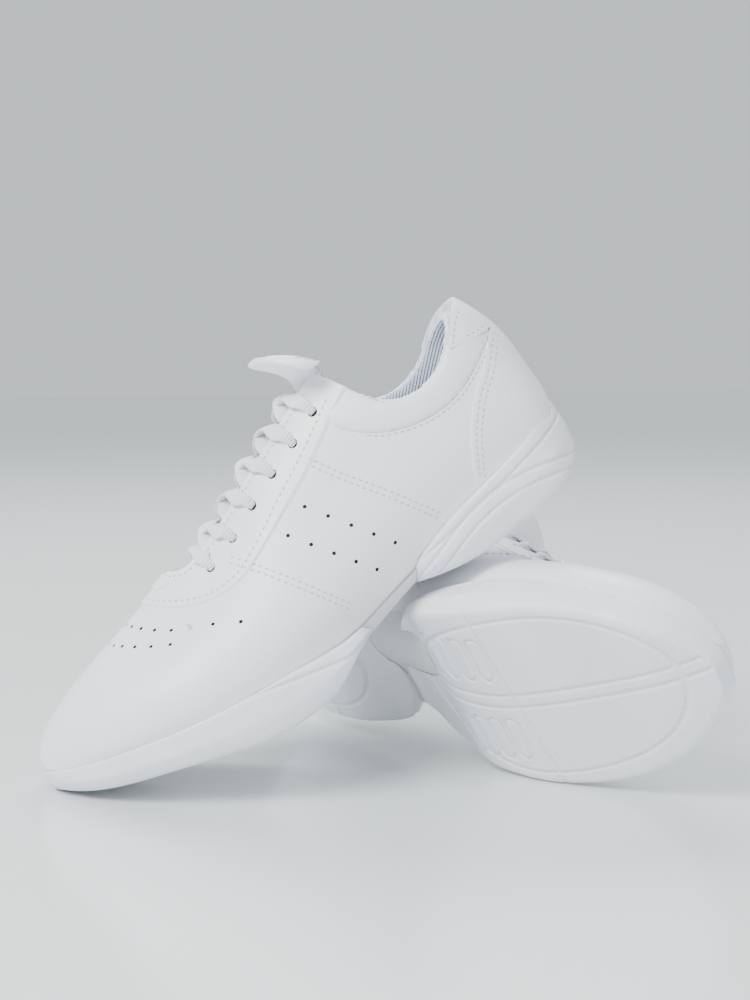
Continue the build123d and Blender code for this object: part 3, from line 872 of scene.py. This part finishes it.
for side in SIDES:
    root = new_piece(side + "_tongue_root", *root_flap(side), side, BODY[side])
    root.data.materials.append(MESH)

# %% [markdown]
# ## Sole pattern
# The tread is cut into the mould, so its grooves are real depth. Each sole unit gets an even
# skin fine enough to carry them, then every point in a groove is pushed in.

# %% Sole grooves
GROOVE = 0.7
SOLE_VOXEL = 0.65


def groove(distance, width):
    """Depth of a round-bottomed groove at a distance from its centre line."""
    t = abs(distance) / width
    return 0.0 if t >= 1 else GROOVE * (1 - t * t)


def forefoot_tread(here, facing):
    depth = 0.0
    if facing.z < -0.55:
        for line in (-4.0, 2.0):
            depth = max(depth, groove(here.y - line - 0.0012 * (here.x - 180) ** 2, 1.1))
        depth = max(depth, groove(here.x - 172 + 0.10 * here.y, 1.1))
        rim = ((here.x - 182) / 60) ** 2 + (here.y / 38) ** 2
        depth = max(depth, groove((rim - 1) * 24, 1.2))
        for row in range(4):
            off_row = here.x - 138 - 9.0 * row
            off_end = max(abs(abs(here.y) - 20) - 7, 0)
            depth = max(depth, groove(math.hypot(off_row, off_end) - 3.2, 0.8))
    elif abs(facing.z) < 0.75:
        depth = groove(here.z - 0.30 * max(here.x - 130, 0) - 6, 0.9)
    return -depth


def heel_tread(here, facing):
    depth = 0.0
    if facing.z < -0.55:
        rim = ((here.x - 42) / 34) ** 2 + (here.y / 24) ** 2
        depth = max(groove((rim - 1) * 13, 1.1), groove(here.x - 44, 1.0))
    elif abs(facing.z) < 0.75:
        wing = here.z - 14 - 9 * math.sin((here.x - 8) / 24)
        depth = max(groove(wing, 1.0), groove(wing + 5.5, 0.8))
        depth = max(depth, groove(here.z - 29 + 0.13 * here.x, 0.8))
    return -depth


for side in SIDES:
    for part, tread in (("forefoot_sole", forefoot_tread), ("heel_sole", heel_tread)):
        sole = joined_skin(f"{side}_moulded_{part}", (part,), side, SOLE_VOXEL, BODY[side])
        shape_by(sole, side, tread)
        paint(sole, side, (RUBBER[side],), lambda here, facing: 0)
        print(side, part, "faces:", len(sole.data.polygons))

# %% [markdown]
# ## Studio
# Plain pale floor, large soft lights and a camera at the height and angle of someone
# crouching in front of the pair.

# %% Floor, light and camera
FLOOR_SIZE = 6.0
floor_mesh = bpy.data.meshes.new("studio_floor")
half = FLOOR_SIZE / 2
floor_mesh.from_pydata([(-half, -half, 0), (half, -half, 0), (half, half, 0), (-half, half, 0)],
                       [], [(0, 1, 2, 3)])
floor = bpy.data.objects.new("studio_floor", floor_mesh)
floor.location.z = CAD_BOX[0][2] - 0.0002
bpy.context.scene.collection.objects.link(floor)
gloss, gloss_tree, gloss_shader, gloss_where = start_material("polished_pale_floor",
                                                              Roughness=0.16)
gloss_tree.links.new(mottled(gloss_tree, gloss_where, "#DDE3E4", "#E6EAEB", 400),
                     gloss_shader.inputs["Base Color"])
floor_mesh.materials.append(gloss)

world = bpy.data.worlds.new("studio_air")
bpy.context.scene.world = world
world.use_nodes = True
world.node_tree.nodes["Background"].inputs["Color"].default_value = linear("#E4ECEE")
world.node_tree.nodes["Background"].inputs["Strength"].default_value = 0.95


def soft_light(name, place, aim, size, watts, tint):
    lamp = bpy.data.lights.new(name, "AREA")
    lamp.shape = "RECTANGLE"
    lamp.size, lamp.size_y = size
    lamp.energy = watts
    lamp.color = linear(tint)[:3]
    holder = bpy.data.objects.new(name, lamp)
    holder.location = place
    holder.rotation_euler = (Vector(aim) - Vector(place)).to_track_quat("-Z", "Y").to_euler()
    bpy.context.scene.collection.objects.link(holder)


soft_light("key_left", (-0.9, -0.7, 1.1), (0, 0, 0.08), (0.9, 0.7), 36, "#FFFFFF")
soft_light("fill_right", (1.1, -0.8, 0.7), (0, 0, 0.08), (0.9, 0.9), 4, "#F2F6FF")
soft_light("top_back", (0.1, 0.9, 1.1), (0, 0, 0.08), (1.2, 0.6), 20, "#FFFFFF")

CAMERA_HEIGHT = 195.3
CAMERA_HEADING = math.radians(12.1)
CAMERA_DIP = math.radians(5.925)
FOCAL = 71.48
camera = bpy.data.cameras.new("camera")
camera.sensor_width = 36.0
camera.lens = FOCAL
camera.clip_end = 50
eye = bpy.data.objects.new("camera", camera)
eye.location = (Vector((0, 0, CAMERA_HEIGHT)) - BOX_CENTRE) * MM
look = Vector((math.sin(CAMERA_HEADING) * math.cos(CAMERA_DIP),
               math.cos(CAMERA_HEADING) * math.cos(CAMERA_DIP), -math.sin(CAMERA_DIP)))
eye.rotation_euler = look.to_track_quat("-Z", "Y").to_euler()
bpy.context.scene.collection.objects.link(eye)
bpy.context.scene.camera = eye
